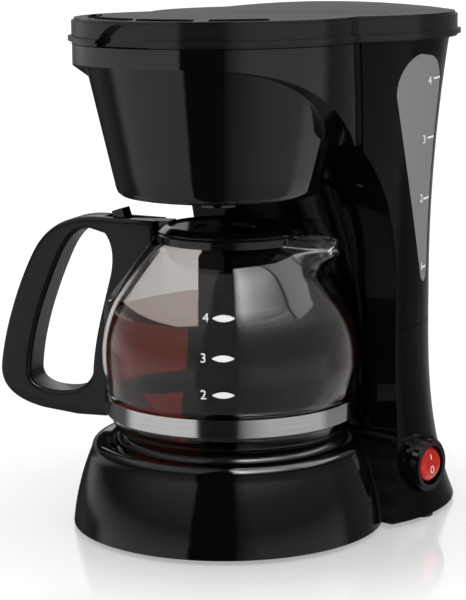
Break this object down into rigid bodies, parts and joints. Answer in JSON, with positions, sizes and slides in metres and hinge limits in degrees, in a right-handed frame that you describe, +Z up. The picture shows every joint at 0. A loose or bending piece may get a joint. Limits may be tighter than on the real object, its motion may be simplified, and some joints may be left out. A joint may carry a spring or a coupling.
{
  "type": "drip coffee maker",
  "caption": "Countertop drip coffee maker: round base with warming plate, rear water tower with window, hinged lid, filter housing and a glass jug with a side handle.",
  "frame": {"origin": "on the counter, under the middle of the whole footprint, jug handle included", "axes": "+Z up, front of the machine towards -Y, water tower towards +Y, switch and water window on the +X side"},
  "size_m": [0.1882, 0.2082, 0.2416],
  "materials": {
    "gloss_black": "gloss",
    "matte_black": "matte",
    "foot_rubber": "matte",
    "zinc_steel": "satin",
    "plate_black": "satin",
    "dark_rubber": "matte",
    "heater_alloy": "satin",
    "ceramic": "matte",
    "silicone": "satin",
    "white_plastic": "satin",
    "satin_black": "satin",
    "switch_red": "gloss",
    "brass": "satin",
    "window_grey": "satin",
    "print_white": "matte",
    "lid_black": "satin",
    "clear_glass": "gloss",
    "band_steel": "brushed"
  },
  "bodies": {
    "machine": {"base_shell": "gloss_black", "bottom_cover": "matte_black", "feet": "foot_rubber", "base_screws": "zinc_steel", "warming_plate": "plate_black", "plate_gasket": "dark_rubber", "heater_element": "heater_alloy", "heater_water_tube": "heater_alloy", "plate_clamp": "zinc_steel", "thermostat": "ceramic", "thermal_fuse": "ceramic", "inlet_hose": "silicone", "check_valve": "white_plastic", "riser_hose": "silicone", "hose_clamps": "zinc_steel", "tank_outlet_seal": "silicone", "switch_bezel": "satin_black", "switch_body": "matte_black", "rocker_pin": "zinc_steel", "switch_terminals": "brass", "cord_gland": "dark_rubber", "tank_shell": "gloss_black", "water_window": "window_grey", "level_marks": "print_white", "column_panel": "gloss_black", "basket_housing": "gloss_black", "filter_basket": "matte_black", "riser_tube": "white_plastic", "spray_arm": "matte_black", "valve_spring": "zinc_steel", "lid_hinge_pin": "zinc_steel"},
    "tank_lid": {"lid": "lid_black"},
    "rocker": {"switch_rocker": "switch_red"},
    "jug": {"jug_glass": "clear_glass", "jug_collar": "satin_black", "jug_handle": "gloss_black", "steel_band": "band_steel", "band_screw": "zinc_steel", "jug_lid_pin": "satin_black", "jug_marks": "print_white"},
    "jug_lid_body": {"jug_lid": "satin_black"},
    "valve": {"drip_valve": "matte_black", "valve_seal": "silicone"}
  },
  "joints": [
    {"name": "lid_hinge", "type": "hinge", "parent": "machine", "child": "tank_lid", "pos_m": [0.0186, 0.1001, 0.226], "axis": [-1, 0, 0], "range_deg": [0, 95]},
    {"name": "switch_rock", "type": "hinge", "parent": "machine", "child": "rocker", "pos_m": [0.0842, 0.0316, 0.0252], "axis": [0, 1, 0], "range_deg": [0, 16]},
    {"name": "jug_slide", "type": "slide", "parent": "machine", "child": "jug", "axis": [0, -1, 0], "range_m": [0, 0.2]},
    {"name": "jug_lid_hinge", "type": "hinge", "parent": "jug", "child": "jug_lid_body", "pos_m": [-0.02665, -0.04392, 0.1384], "axis": [0.3338, -0.9426, 0], "range_deg": [0, 5]},
    {"name": "drip_valve_slide", "type": "slide", "parent": "machine", "child": "valve", "axis": [0, 0, 1], "range_m": [0, 0.0015], "stiffness_N_per_m": 150, "springref_m": -0.004, "deforming": ["valve_spring"]}
  ]
}
